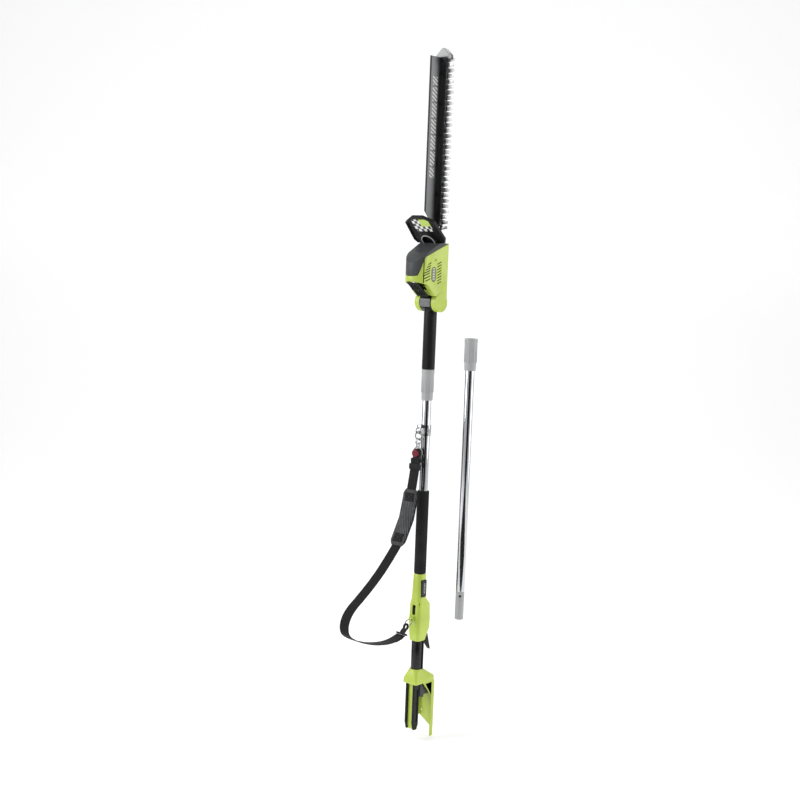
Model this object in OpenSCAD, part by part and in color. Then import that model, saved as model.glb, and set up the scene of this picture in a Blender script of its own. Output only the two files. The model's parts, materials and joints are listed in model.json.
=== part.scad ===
// Cordless pole hedge trimmer with a tilting head, a shoulder strap and a spare extension section.
// The pole runs along Z with the blade tip up. The top of the tool (motor, strap rings) faces -Y and
// the trigger side faces +Y. The head tilts about X. Side profiles are drawn as [t, z], where t is
// the distance from the pole axis towards the top of the tool, so t = -Y.

/* [Pole] */
// Outer diameter of the metal tubes
pole_d = 25; // [22:0.5:28]
// Wall of the metal tubes
pole_wall = 1.2; // [1:0.1:1.6]
// Bare tube between the foam grip and the coupling
bare_len = 255; // [200:5:360]
// Outer diameter of the foam grip
grip_d = 34; // [31:0.5:40]
// Length of the foam grip
grip_len = 238; // [160:2:320]
// Largest diameter of the coupling collar
collar_d = 36; // [34.5:0.5:44]
// Length of the coupling collar
collar_len = 87; // [75:1:110]
// Outer diameter of the black upper tube
upper_d = 36; // [34:0.5:40]
// Length of the black upper tube
upper_len = 158; // [120:1:220]

/* [Handle] */
// Length of the switch handle
handle_len = 193; // [180:1:240]
// Width of the switch handle at its thick lower end
handle_w = 42; // [40:1:50]
// Outer diameter of the tube between the handle and the battery shroud
rear_d = 31; // [28:0.5:34]
// Visible length of that tube
rear_len = 84; // [60:1:140]

/* [Battery shroud] */
// Width of the shroud
shroud_w = 50; // [46:1:64]
// Depth of the shroud behind the pole axis
shroud_back = 55; // [50:0.5:64]
// Depth of the shroud in front of the pole axis
shroud_front = 27; // [25:0.5:34]
// Length of the guard wall, from the top of the shroud to its lowest corner
guard_wall_len = 206; // [170:1:240]
// Length of the guide post, from the top of the shroud
post_len = 176; // [130:1:196]

/* [Head] */
// Width across the side walls of the head
head_w = 71; // [68:0.5:80]
// Radius of the pivot ears
ear_r = 26; // [25:0.5:30]
// Thickness of each pivot ear
ear_w = 15.7; // [10:0.1:18]
// Wall of the head shells
shell_wall = 2.5; // [2:0.1:3]
// Distance from the pole axis to the motor axis
motor_t = 57; // [55:0.5:62]
// Diameter of the motor can
can_d = 44; // [38:1:50]
// Width of the front guard
guard_w = 110; // [100:1:124]
// Length of the front guard along its slope
guard_len = 115; // [100:1:130]

/* [Blades] */
// Distance between the teeth of one blade
tooth_pitch = 29; // [25:0.5:32]
// Number of teeth along one edge
tooth_count = 16; // [10:1:18]
// Width of the blades over the tooth tips
blade_w = 66; // [58:1:70]
// Thickness of one blade
blade_t = 2; // [1.8:0.1:2.4]
// Diameter of the blade bolts
blade_bolt_d = 6; // [5:0.5:7]
// Height of the deflector plate
deflector_h = 46; // [30:1:60]

/* [Extension section] */
// Distance between the pole and the extension section
ext_gap = 147; // [90:1:300]
// Bare tube of the extension section
ext_len = 610; // [400:10:900]
// Length of the spigot that fits the coupling
spigot_len = 78; // [60:1:85]

/* [Fits] */
// Gap between pieces that move past each other
clearance = 0.3; // [0.2:0.05:0.5]
// Radial gap of a pin that turns in its hole
running = 0.05; // [0.02:0.01:0.08]

/* [Hidden] */

$fn = 64;
hull_fn = 32;
far = 400;

lime = "#c5db4d";
charcoal = "#3a3b3c";
black = "#1c1c1d";
silver = "#c9ccd0";
light_grey = "#b9bbbd";
steel = "#9ea2a6";
crimson = "#8c1a2b";
mesh_grey = "#8b8d90";

// stations along the pole; the origin is mid way along the clip seat on the bare tube
grip_top_z = -75;
grip_bottom_z = grip_top_z - grip_len;
handle_top_z = grip_bottom_z;
handle_bottom_z = handle_top_z - handle_len;
shroud_top_z = handle_bottom_z - rear_len;
collar_bottom_z = grip_top_z + bare_len;
collar_top_z = collar_bottom_z + collar_len;
upper_top_z = collar_top_z + upper_len;
pivot_z = upper_top_z + 27;

// coupling: the socket sleeve slides over the pole, the spigot drops into the sleeve
spigot_d = pole_d - 1;
spigot_bore = spigot_d - 5;
sleeve_d = pole_d + 4.5;
sleeve_overlap = 25;
ring_gap = 1;

// handle
handle_top_d = 33;
handle_front_t = 20;
handle_back_t = 33;
handle_wall = 2.5;
badge_x = pole_d / 2 + 0.8;
trigger_pivot = [-20, handle_bottom_z + 48];
trigger_pin_d = 4;
pole_foot_z = handle_top_z - 82;
ring_z = handle_bottom_z + 66;
ring_wire = 3;
ring_r = 11;
ring_swing = 48;
ring_eye_at = [handle_front_t + 12, ring_z - 1];
swing_dir = [sin(ring_swing), -cos(ring_swing)];
hook_inner = 6;
hook_outer = 10;
hook_reach = 2 * ring_r + hook_inner - ring_wire / 2 - clearance;
screw_zs = [handle_bottom_z + 64, handle_top_z - 96];

// strap hanger and the parts that hang from it
hanger_z = 96;
hanger_h = 30;
lug_t = 27;
lug_half = 5;
bolt_at = [22, hanger_z + 12];
lug_drop = ring_r - sqrt(ring_r * ring_r - lug_half * lug_half);
lug_hole = ring_wire + 2 * lug_drop + 2 * clearance;
hook_t = lug_t + 3;
hook_at = [hook_t, hanger_z - 3 - hook_reach];
release_top = hook_at[1] - hook_outer - 8;
release_h = 40;
button_z = release_top - 15;
button_d = 21;
bail_r = 16;

// battery shroud
cap_h = 40;
cap_wall = 3;
rim_h = 8;
post_w = 32;
spine_w = 19;

// head, measured from the pivot
head_r = head_w / 2;
belly_t = -24;
inner_r = head_r - shell_wall;
ear_in = head_r + 1.5 - ear_w;
knuckle_w = 2 * (ear_in - clearance);
sweep_r = ear_r + 5;
pin_d = 12;
nose_z = 162;
head_screw_at = [[20, 44], [36, 126], [-17, 60]];
badge_t = 35;
badge_zs = [67, 87];
badge_r = 10;

// drive
gear_z = 112;
gear_teeth = 17;
pinion_teeth = 9;
gear_module = 2;
pinion_r = pinion_teeth * gear_module / 2;
gear_pitch_r = gear_teeth * gear_module / 2;
gear_top_t = motor_t - pinion_r - 1.5;
gear_t = 7;
face_tooth_h = 2.6;
crank_d = 10;
stroke = tooth_pitch / 4;
cam_r = 10.5;
cam_sweep = cam_r + stroke;
window_x = cam_sweep + 1;
window_z = cam_sweep + stroke + 1;

// blades, from the bar downwards
bar_top_t = -12;
bar_t = 4.4;
blade_gap = 0.2;
upper_blade_t = bar_top_t - bar_t - blade_gap;
lower_blade_t = upper_blade_t - blade_t - blade_gap;
blade_bottom_t = lower_blade_t - blade_t;
bar_w = 20;
spine_half = 12;
teeth_z = 198;
teeth_len = tooth_count * tooth_pitch;
bar_start_z = gear_z + window_z + stroke + 8;
bar_end_z = teeth_z + teeth_len + 16;
tip_z = bar_end_z + 8;
bolt_count = 6;
bolt_step = (teeth_len - 60) / (bolt_count - 1);

// deflector
foot_t = 2;
plate_x = -9;
deflector_start_z = 208;
plate_end_z = bar_end_z - 17;

// front guard
guard_base = [-10, 153];
guard_tilt = 45;
guard_t = 4;
guard_eye_y = 31;
label_size = [60, 44];
label_y = 59;
label_depth = 0.6;

// foot of the extension section
ext_foot_z = -412;

// strap route, [t, z], hook to hook
strap_w = 32;
strap_t = 2.4;
pad_w = 54;
pad_t = 9;
upper_route = [[hook_t + 8, release_top - release_h - 1.5], [39.5, -4], [44, -30], [50, -62]];
pad_route = [[51, -66], [55, -95], [62, -130], [75, -163], [99, -205], [106, -217]];
lower_route = [
    [108, -221], [138, -253], [170, -284], [208, -315], [247, -343], [276, -363], [294, -382],
    [303, -404], [301, -424], [292, -436], [277, -446], [255, -457], [232, -466], [193, -478],
    [147, -486], [120, -487], [103, -485.5], [87, -482.5], [71, -478]
];

// ---------- helpers ----------

// a [t, z] outline spread across X
module across(half) {
    mirror([0, 1, 0])
        rotate([90, 0, 90])
            translate([0, 0, -half])
                linear_extrude(2 * half)
                    children();
}

// an [x, t] section raised along Z
module raise(z, h) {
    translate([0, 0, z])
        mirror([0, 1, 0])
            linear_extrude(h)
                children();
}

// a cylinder across X at [t, z]
module cross_cylinder(at, d, length) {
    translate([0, -at[0], at[1]])
        rotate([0, 90, 0])
            cylinder(d = d, h = length, center = true);
}

// a cylinder towards the top of the tool, from t0 to t1, at [x, z]
module top_cylinder(at, d, t0, t1) {
    translate([at[0], -t0, at[1]])
        rotate([90, 0, 0])
            cylinder(d = d, h = t1 - t0);
}

// a tube along Z
module tube(outer, inner, z, h) {
    difference() {
        translate([0, 0, z])
            cylinder(d = outer, h = h);
        translate([0, 0, z - 1])
            cylinder(d = inner, h = h + 2);
    }
}

// a box from [x, t, z] corners
module block(lo, hi) {
    translate([lo[0], -hi[1], lo[2]])
        cube([hi[0] - lo[0], hi[1] - lo[1], hi[2] - lo[2]]);
}

module rounded_rect(lo, hi, r) {
    hull()
        for (x = [lo[0] + r, hi[0] - r], y = [lo[1] + r, hi[1] - r])
            translate([x, y])
                circle(r, $fn = hull_fn);
}

module left_half() {
    intersection() {
        children();
        translate([-far, -far / 2, -2 * far])
            cube([far, far, 4 * far]);
    }
}

module right_half() {
    intersection() {
        children();
        translate([0, -far / 2, -2 * far])
            cube([far, far, 4 * far]);
    }
}

module at_pivot() {
    translate([0, 0, pivot_z])
        children();
}

// flat band of thickness t along a route of [t, z] points
function route_dir(p, i) = p[min(i + 1, len(p) - 1)] - p[max(i - 1, 0)];
function route_side(p, i, d) = let (v = route_dir(p, i)) p[i] + d * [-v[1], v[0]] / norm(v);
function band(p, t) = concat(
    [for (i = [0 : len(p) - 1]) route_side(p, i, t / 2)],
    [for (i = [len(p) - 1 : -1 : 0]) route_side(p, i, -t / 2)]);

// wire ring in the plane that holds X, centred at [t, z]
module wire_ring(at, r, wire, tilt) {
    translate([0, -at[0], at[1]])
        rotate([90 + tilt, 0, 0])
            rotate_extrude()
                translate([r, 0])
                    circle(d = wire, $fn = 24);
}

// ---------- pole ----------

module pole_tube() {
    pole_h = collar_bottom_z + sleeve_overlap - pole_foot_z;
    color(silver)
        tube(pole_d, pole_d - 2 * pole_wall, pole_foot_z, pole_h);
}

module foam_grip() {
    color(charcoal)
        tube(grip_d, pole_d, grip_bottom_z, grip_len);
}

// sleeve on the pole that takes the spigot of the next section
module sleeve() {
    seat = sleeve_overlap;
    difference() {
        cylinder(d = sleeve_d, h = collar_len - ring_gap);
        translate([0, 0, -1])
            cylinder(d = pole_d, h = seat + 1);
        translate([0, 0, seat - 1])
            cylinder(d = spigot_d - 4, h = 4);
        translate([0, 0, seat + 2])
            cylinder(d = spigot_d + 2 * running, h = collar_len);
    }
}

// twist collar: a bored cone with grip ribs and a ring near its mouth
module collar() {
    ribs = 16;
    foot_d = collar_d - 4;
    lip = 12;
    difference() {
        union() {
            cylinder(d1 = foot_d - 1, d2 = foot_d, h = 10);
            translate([0, 0, 10])
                cylinder(d1 = foot_d, d2 = collar_d - 1, h = collar_len - lip - 10);
            translate([0, 0, collar_len - lip])
                cylinder(d = collar_d, h = lip - ring_gap);
            for (i = [0 : ribs - 1])
                rotate([0, 0, i * 360 / ribs])
                    translate([collar_d / 2 - 2.6, -0.8, 22])
                        cube([2, 1.6, collar_len - lip - 22]);
        }
        translate([0, 0, -1])
            cylinder(d = sleeve_d + 2 * clearance, h = collar_len + 2);
    }
}

module socket_insert() {
    color(light_grey)
        translate([0, 0, collar_bottom_z])
            sleeve();
}

module coupling_collar() {
    color(light_grey)
        translate([0, 0, collar_bottom_z])
            collar();
}

// ---------- strap hanger ----------

module hanger_clamp() {
    color(steel)
        difference() {
            union() {
                translate([0, 0, hanger_z - hanger_h / 2])
                    cylinder(d = pole_d + 5, h = hanger_h);
                block([-lug_half, 0, hanger_z - 9], [lug_half, lug_t, hanger_z + 17]);
                cross_cylinder([lug_t, hanger_z], 20, 2 * lug_half);
            }
            translate([0, 0, hanger_z - hanger_h])
                cylinder(d = pole_d, h = 2 * hanger_h);
            block([-0.6, 0, hanger_z - hanger_h], [0.6, 26, hanger_z + hanger_h]);
            cross_cylinder([hook_t, hanger_z - 3], lug_hole, 20);
            cross_cylinder(bolt_at, 4, 20);
        }
}

module hanger_bolt() {
    color(black) {
        cross_cylinder(bolt_at, 4, 2 * lug_half + 4);
        for (side = [-1, 1])
            translate([side * (lug_half + 2.3), 0, 0])
                cross_cylinder(bolt_at, 9, 4);
    }
}

module hanger_ring() {
    color(steel)
        wire_ring([hook_t, hanger_z - 3 - ring_r], ring_r, ring_wire, 0);
}

// ---------- handle ----------

// one rounded section of the handle
module handle_slice(z, half, back, front, r = 10) {
    translate([0, 0, z])
        mirror([0, 1, 0])
            linear_extrude(0.01)
                rounded_rect([-half, -back], [half, front], r);
}

module handle_solid() {
    top = handle_top_d / 2;
    low = handle_w / 2;
    union() {
        hull() {
            handle_slice(handle_top_z - 0.01, top - 1, top - 1, top - 1, top - 3);
            handle_slice(handle_top_z - 4, top, top, top, top - 3);
            handle_slice(handle_top_z - 70, top + 1, top + 2, top + 2, top - 4);
        }
        hull() {
            handle_slice(handle_top_z - 70, top + 1, top + 2, top + 2, top - 4);
            handle_slice(handle_top_z - 88, low - 1, handle_back_t - 1, top + 3);
        }
        hull() {
            handle_slice(handle_top_z - 88, low - 1, handle_back_t - 1, top + 3);
            handle_slice(handle_bottom_z + 62, low, handle_back_t + 1, handle_front_t + 1);
            handle_slice(handle_bottom_z + 36, low, handle_back_t, handle_front_t);
        }
        hull() {
            handle_slice(handle_bottom_z + 36, low, handle_back_t, handle_front_t);
            handle_slice(handle_bottom_z + 24, low - 1, 24, handle_front_t);
            handle_slice(handle_bottom_z, rear_d / 2 + 2.5, rear_d / 2 + 2.5, rear_d / 2 + 2.5);
        }
    }
}

module handle_cavity() {
    room = handle_w / 2 - handle_wall - 1;
    translate([0, 0, pole_foot_z - 0.01])
        cylinder(d = pole_d + 2 * running, h = far);
    block([-room, -(handle_back_t - handle_wall), handle_bottom_z + 38],
        [room, handle_front_t - handle_wall - 1, pole_foot_z]);
    block([-room, -19, handle_bottom_z + 22], [room, handle_front_t - 5, handle_bottom_z + 40]);
    translate([0, 0, handle_bottom_z - 1])
        cylinder(d = rear_d + 2 * running, h = 17);
    translate([0, 0, handle_bottom_z + 10])
        cylinder(d = rear_d - 6, h = 20);
}

// openings for the trigger, the lock-off slider, the badge and the trigger pin
module handle_openings() {
    block([-6, -handle_back_t - 6, handle_bottom_z + 8], [6, -12, handle_bottom_z + 44]);
    block([-5.5, handle_front_t - 8, handle_bottom_z + 76],
        [5.5, handle_front_t + 8, handle_bottom_z + 104]);
    cross_cylinder(trigger_pivot, trigger_pin_d, handle_w - 4);
    for (z = screw_zs)
        cross_cylinder([-handle_back_t + 7, z], 3.2, handle_w + 10);
    block([badge_x, -11, handle_top_z - 66], [handle_w, 11, handle_top_z - 16]);
}

module handle_body() {
    difference() {
        handle_solid();
        handle_cavity();
        handle_openings();
    }
}

// eye for the strap ring, moulded on the left half
module ring_eye() {
    difference() {
        union() {
            cross_cylinder([handle_front_t + 11, ring_z], 12, 8);
            block([-4, handle_front_t - 2, ring_z - 6], [4, handle_front_t + 11, ring_z + 6]);
        }
        cross_cylinder(ring_eye_at, ring_wire + 2, 12);
    }
}

module handle_shell_left() {
    color(lime)
        left_half()
            union() {
                handle_body();
                ring_eye();
            }
}

module handle_shell_right() {
    color(lime)
        right_half()
            union() {
                handle_body();
                ring_eye();
            }
}

module handle_screws() {
    color(steel)
        for (z = screw_zs)
            cross_cylinder([-handle_back_t + 7, z], 3.2, handle_w - 2);
}

module handle_badge() {
    color(black)
        hull()
            for (t = [-7.5, 7.5], z = [handle_top_z - 62.5, handle_top_z - 19.5])
                translate([badge_x, -t, z])
                    rotate([0, 90, 0])
                        cylinder(r = 3, h = handle_top_d / 2 + 1.5 - badge_x, $fn = hull_fn);
}

module handle_ring() {
    color(steel)
        wire_ring(ring_eye_at + ring_r * swing_dir, ring_r, ring_wire, -ring_swing);
}

// ---------- trigger ----------

module trigger() {
    p = trigger_pivot;
    color(black)
        difference() {
            union() {
                cross_cylinder(p, 11, 10);
                across(5)
                    polygon([
                        [p[0] + 4, p[1] + 3], [p[0] + 3.5, p[1] - 24], [p[0] - 7, p[1] - 36],
                        [p[0] - 12, p[1] - 62], [p[0] - 31, p[1] - 85.5], [p[0] - 33, p[1] - 84],
                        [p[0] - 26, p[1] - 60], [p[0] - 19, p[1] - 36], [p[0] - 14, p[1] - 22],
                        [p[0] - 5, p[1] - 2]
                    ]);
            }
            cross_cylinder(p, trigger_pin_d + 2 * running, 20);
        }
}

module trigger_pin() {
    color(steel)
        cross_cylinder(trigger_pivot, trigger_pin_d, handle_w - 4);
}

module trigger_switch() {
    base = handle_bottom_z + 74;
    color(black) {
        block([-9, -12, base], [9, 9, base + 30]);
        block([-2.5, -16, base + 4], [2.5, -12, base + 12]);
    }
}

module lock_off_button() {
    base = handle_bottom_z + 82;
    color(black) {
        block([-4.5, handle_front_t - 9, base], [4.5, handle_front_t - 1, base + 14]);
        for (i = [0 : 2])
            block([-4.5, handle_front_t - 1, base + 2 + 4 * i],
                [4.5, handle_front_t + 0.5, base + 4 + 4 * i]);
    }
}

// ---------- battery shroud ----------

module rear_tube() {
    color(black)
        tube(rear_d, rear_d - 5, shroud_top_z - 10, rear_len + 26);
}

// lead in a flat duct along the tube
module battery_lead() {
    color(black)
        intersection() {
            rotate([0, 0, 35])
                translate([rear_d / 2 - 1, -3, shroud_top_z - 4])
                    cube([5, 6, rear_len + 4 - clearance]);
            difference() {
                cylinder(r = far, h = 4 * far, center = true);
                cylinder(d = rear_d, h = 4 * far, center = true);
            }
        }
}

module cap_slice(z, inset) {
    half = shroud_w / 2 - inset;
    translate([0, 0, z])
        mirror([0, 1, 0])
            linear_extrude(0.01)
                rounded_rect([-half, inset - shroud_back], [half, shroud_front - inset], 5);
}

module shroud_cap() {
    rim_z = shroud_top_z - cap_h;
    neck = rear_d / 2 + 2.5;
    color(lime)
        difference() {
            union() {
                hull() {
                    translate([0, 0, shroud_top_z - 0.01])
                        cylinder(r = neck, h = 0.01, $fn = hull_fn);
                    cap_slice(rim_z + rim_h + 6, 0.5);
                    cap_slice(rim_z + rim_h, 0);
                }
                hull() {
                    cap_slice(rim_z + rim_h, 0);
                    cap_slice(rim_z, 0);
                }
            }
            hull() {
                cap_slice(rim_z - 1, cap_wall);
                cap_slice(rim_z + rim_h, cap_wall + 1);
            }
            hull() {
                cap_slice(rim_z + rim_h - 0.5, cap_wall + 1);
                cap_slice(shroud_top_z - 20, 14);
            }
            translate([0, 0, shroud_top_z - 12])
                cylinder(d = rear_d + 2 * running, h = 20);
            translate([0, 0, shroud_top_z - cap_h])
                cylinder(d = rear_d - 6, h = cap_h);
            rotate([0, 0, 35])
                translate([rear_d / 2 - 1, -3, shroud_top_z - 4])
                    cube([5, 6, 10]);
        }
}

// wall behind the battery, with flanges, and a gusset with a window beside the rim
module shroud_guard_wall() {
    top = shroud_top_z - cap_h;
    low = shroud_top_z - guard_wall_len;
    half = shroud_w / 2;
    back = -shroud_back;
    color(lime)
        difference() {
            union() {
                intersection() {
                    block([-half, back, low], [half, cap_wall + back, top]);
                    translate([0, far / 2, 0])
                        rotate([90, 0, 0])
                            linear_extrude(far)
                                polygon([[half, top], [-half, top], [-half, low + 52],
                                    [half - 5, low + 25], [half - 4, low], [half, low]]);
                }
                block([half - 2.5, back, low], [half, 12 + back, top]);
                block([-half, back, low + 52], [2.5 - half, 12 + back, top]);
                for (x = [1.25 - half, half - 1.25])
                    translate([x, 0, 0])
                        across(1.25)
                            polygon([[back + 2, top], [back + 2, top - 56], [back + 50, top]]);
            }
            across(half + 10)
                polygon([[back + 12, top - 4], [back + 12, top - 36], [back + 40, top - 4]]);
            top_cylinder([-18, low + 65], 5, back - 2, 0);
        }
}

module guide_post() {
    top = shroud_top_z - cap_h + 2;
    foot = shroud_top_z - post_len;
    color(black)
        difference() {
            intersection() {
                block([-post_w / 2, 0, foot], [post_w / 2, shroud_front - 4, top]);
                across(post_w)
                    polygon([[0, top], [shroud_front - 4, top], [shroud_front - 4, foot + 20],
                        [shroud_front - 9, foot], [6, foot], [0, foot + 14]]);
            }
            block([-spine_w / 2, shroud_front - 14, foot - 1], [spine_w / 2, shroud_front, top + 1]);
            for (x = [-post_w / 2, post_w / 2 - 2.5])
                block([x, 5, foot + 24], [x + 2.5, 12, top - 20]);
        }
}

module guide_spine() {
    foot = shroud_top_z - post_len;
    top = shroud_top_z - cap_h;
    color(lime)
        across(spine_w / 2)
            polygon([[shroud_front - 14, foot], [shroud_front - 13, foot],
                [shroud_front - 10, foot + 16], [shroud_front - 10, top],
                [shroud_front - 14, top]]);
}

// connector block with its row of contact blades
module terminal_block() {
    top = shroud_top_z - cap_h + rim_h;
    color(charcoal) {
        block([-16, -40, top - 46], [16, -4, top]);
        block([-20, -24, top - 10], [20, 0, top]);
    }
    color(steel)
        for (x = [-10, -3.4, 3.4, 10])
            block([x - 0.5, -26, top - 56], [x + 0.5, -14, top - 46]);
}

// ---------- shoulder strap ----------

// open eye of a snap hook in the plane of the strap
module snap_eye(at, thick) {
    difference() {
        cross_cylinder(at, 2 * hook_outer, thick);
        cross_cylinder(at, 2 * hook_inner, thick + 2);
    }
}

module strap_hook() {
    color(steel) {
        difference() {
            snap_eye(hook_at, 5);
            block([-4, hook_at[0] + 3, hook_at[1] - 4], [4, hook_at[0] + 12, hook_at[1] + 6]);
        }
        block([-3, hook_at[0] - 3, release_top], [3, hook_at[0] + 5, hook_at[1] - hook_outer + 1.5]);
        difference() {
            wire_ring([hook_at[0] + 1, button_z], bail_r, ring_wire, 0);
            block([-far, -far, button_z - far], [far, far, button_z - 4]);
        }
    }
}

module strap_hook_gate() {
    color(silver) {
        block([-2, hook_at[0] + 6.4, hook_at[1] - 2.6], [2, hook_at[0] + 9.4, hook_at[1] + 5.6]);
        cross_cylinder([hook_at[0] + 7.9, hook_at[1] - 2.2], 3, 5);
    }
}

module quick_release() {
    foot = release_top - release_h;
    face = hook_at[0] + 8;
    color(black)
        difference() {
            union() {
                top_cylinder([0, button_z], 26, hook_at[0] - 4, face);
                block([-11, hook_at[0] - 2, foot + 9], [11, face, button_z]);
                block([-strap_w / 2 - 2, hook_at[0] + 1, foot], [strap_w / 2 + 2, face, foot + 10]);
            }
            top_cylinder([0, button_z], button_d + 2 * clearance, hook_at[0] + 4, face + 10);
        }
}

module release_button() {
    color(crimson)
        top_cylinder([0, button_z], button_d, hook_at[0] + 6.5, hook_at[0] + 14);
}

module webbing(route) {
    color(black)
        across(strap_w / 2)
            polygon(band(route, strap_t));
}

module strap_upper() {
    webbing(upper_route);
}

module strap_pad() {
    color(mesh_grey)
        across(pad_w / 2)
            polygon(band(pad_route, pad_t));
}

module strap_lower() {
    webbing(lower_route);
}

module strap_adjuster() {
    p = upper_route[1];
    color(black)
        difference() {
            block([-strap_w / 2 - 3, p[0] - 3, p[1] - 8], [strap_w / 2 + 3, p[0] + 4, p[1] + 8]);
            across(strap_w / 2)
                polygon(band(upper_route, strap_t));
        }
}

module lower_hook() {
    at = ring_eye_at + hook_reach * swing_dir;
    last = lower_route[len(lower_route) - 1];
    dir = (last - at) / norm(last - at);
    start = at + (hook_outer - 1.5) * dir;
    bar = last - 6 * dir;
    color(black) {
        snap_eye(at, 6);
        across(7)
            polygon(band([start, bar], 7));
        across(strap_w / 2 + 3)
            polygon(band([bar, last - 2 * dir], 6));
    }
}

// ---------- upper section ----------

module upper_tube() {
    color(black)
        tube(upper_d, upper_d - 6, collar_top_z, upper_len);
}

module spigot(foot, h, plug_d, plug_h) {
    difference() {
        union() {
            translate([0, 0, foot])
                cylinder(d = spigot_d, h = h);
            translate([0, 0, foot + h])
                cylinder(d = plug_d, h = plug_h);
        }
        translate([0, 0, foot - 1])
            cylinder(d = spigot_bore, h = h + plug_h + 2);
    }
}

module upper_spigot() {
    foot = collar_bottom_z + sleeve_overlap + 2;
    color(light_grey)
        spigot(foot, collar_top_z - foot, upper_d - 6, 50);
}

module knuckle() {
    color(black)
        difference() {
            union() {
                translate([0, 0, upper_top_z - 30])
                    cylinder(d = upper_d - 6, h = 30);
                translate([0, 0, upper_top_z])
                    cylinder(d1 = upper_d, d2 = knuckle_w - 1, h = pivot_z - upper_top_z);
                cross_cylinder([0, pivot_z], 2 * ear_r - 2, knuckle_w);
            }
            cross_cylinder([0, pivot_z], pin_d, knuckle_w + 2);
            block([-18.3, 12, pivot_z - 12.3], [18.3, 30, pivot_z + 10.3]);
            translate([0, 0, upper_top_z - 31])
                cylinder(d = 18, h = 36);
        }
}

module tilt_button() {
    color(light_grey)
        at_pivot() {
            block([-18, 15.5, -12], [18, 27, 10]);
            for (z = [-9, -5, -1, 3])
                block([-14, 27, z], [14, 28, z + 2]);
        }
}

module pivot_pin() {
    color(steel)
        cross_cylinder([0, pivot_z], pin_d, 2 * (ear_in + ear_w - 3));
}

// ---------- head ----------

module arch(r, floor_t) {
    translate([0, motor_t])
        circle(r);
    translate([-r, floor_t])
        square([2 * r, motor_t - floor_t]);
}

module lime_profile() {
    top = motor_t + head_r;
    polygon([[belly_t, 161], [27, 141], [67, 124], [72.5, 115], [85, 73], [top + 1, 70],
        [top + 1, 57], [56, 47], [26, 18], [17, 18], [0, 0], [belly_t, 4]]);
}

module side_vents() {
    for (i = [0 : 6])
        translate([63 - abs(i - 2) * 2.5, 62 + i * 7.3])
            rotate(-22)
                square([26 - abs(i - 2) * 3, 2.8], center = true);
    for (i = [0 : 7])
        translate([10.5 + i * 0.3, 55 + i * 7.6])
            rotate(-22)
                square([19, 2.6], center = true);
    translate([28, 116])
        circle(2.5);
}

module head_body() {
    difference() {
        union() {
            intersection() {
                across(head_r)
                    lime_profile();
                raise(-60, 260)
                    arch(head_r, belly_t - 2);
            }
            for (side = [-1, 1])
                translate([side * (ear_in + ear_w / 2), 0, 0])
                    cross_cylinder([0, 0], 2 * ear_r, ear_w);
        }
        intersection() {
            across(inner_r)
                polygon([[belly_t + 2.5, 34], [24, 34], [26, 36], [56, 47], [motor_t + head_r, 47],
                    [motor_t + head_r, 175], [belly_t + 2.5, 175]]);
            raise(-60, 260)
                arch(inner_r, belly_t + 2.5);
        }
        cross_cylinder([0, 0], 2 * sweep_r, 2 * ear_in);
        block([-ear_in, 24, 8], [ear_in, far, 47]);
        cross_cylinder([0, 0], pin_d + 2 * running, 2 * (ear_in + ear_w - 3));
        across(far)
            side_vents();
        across(far)
            badge_outline();
        for (at = head_screw_at)
            cross_cylinder(at, 4, head_w + 10);
    }
}

module badge_outline() {
    translate([badge_t - badge_r, badge_zs[0]])
        square([2 * badge_r, badge_zs[1] - badge_zs[0]]);
    for (z = badge_zs)
        translate([badge_t, z])
            circle(badge_r);
}

module head_shell_left() {
    color(lime)
        at_pivot()
            left_half()
                head_body();
}

module head_shell_right() {
    color(lime)
        at_pivot()
            right_half()
                head_body();
}

module head_screws() {
    color(steel)
        at_pivot()
            for (at = head_screw_at)
                cross_cylinder(at, 4, head_w - 1);
}

module side_badges() {
    color(mesh_grey)
        at_pivot()
            for (side = [-1, 1])
                translate([side * (head_r - shell_wall / 2 + 0.2), 0, 0])
                    across(shell_wall / 2)
                        badge_outline();
}

// grey cover over the nose and the top of the motor
module motor_cover() {
    top = motor_t + head_r;
    color(charcoal)
        at_pivot()
            difference() {
                intersection() {
                    across(head_r)
                        polygon([[belly_t, 161], [27, 141], [67, 124], [72.5, 115], [85, 73],
                            [top + 1, 70], [top + 1, 106], [78, 121], [62, 134], [14, nose_z],
                            [belly_t, nose_z]]);
                    raise(0, 260)
                        arch(head_r, belly_t);
                }
                intersection() {
                    across(inner_r)
                        polygon([[belly_t + 2.5, 130], [20, 60], [top, 60], [top, 103], [76, 118],
                            [60.6, 131], [13, nose_z - 3], [belly_t + 2.5, nose_z - 3]]);
                    raise(0, 260)
                        arch(inner_r, belly_t + 2.5);
                }
                block([-16, belly_t + 2, nose_z - 10], [16, -7, nose_z + 10]);
            }
}

// slotted basket between the rim and the knuckle
module rear_grille() {
    reach = motor_t + 27;
    color(black)
        at_pivot() {
            for (x = [-16 : 8 : 16])
                translate([x, 0, 0])
                    across(1.6)
                        polygon([[reach, 52], [reach - 7, 52], [33, 19], [36, 15]]);
            for (at = [[38, 19], [60, 34.5], [reach - 4.5, 50]])
                cross_cylinder(at, 4, 36);
        }
}

// ---------- front guard ----------

// local frame of the guard: X across, Y up its slope, Z towards the user
module on_guard() {
    translate([0, -guard_base[0], pivot_z + guard_base[1]])
        rotate([180 - guard_tilt, 0, 0])
            children();
}

module guard_outline(inset) {
    half = guard_w / 2 - inset;
    hull()
        for (p = [[half - 18, 6], [half, 34], [half - 4, guard_len - 22], [half - 32, guard_len - 6]])
            for (side = [-1, 1])
                translate([side * (p[0] - 6), max(p[1] - inset, 6 + inset)])
                    circle(6, $fn = hull_fn);
}

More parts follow.
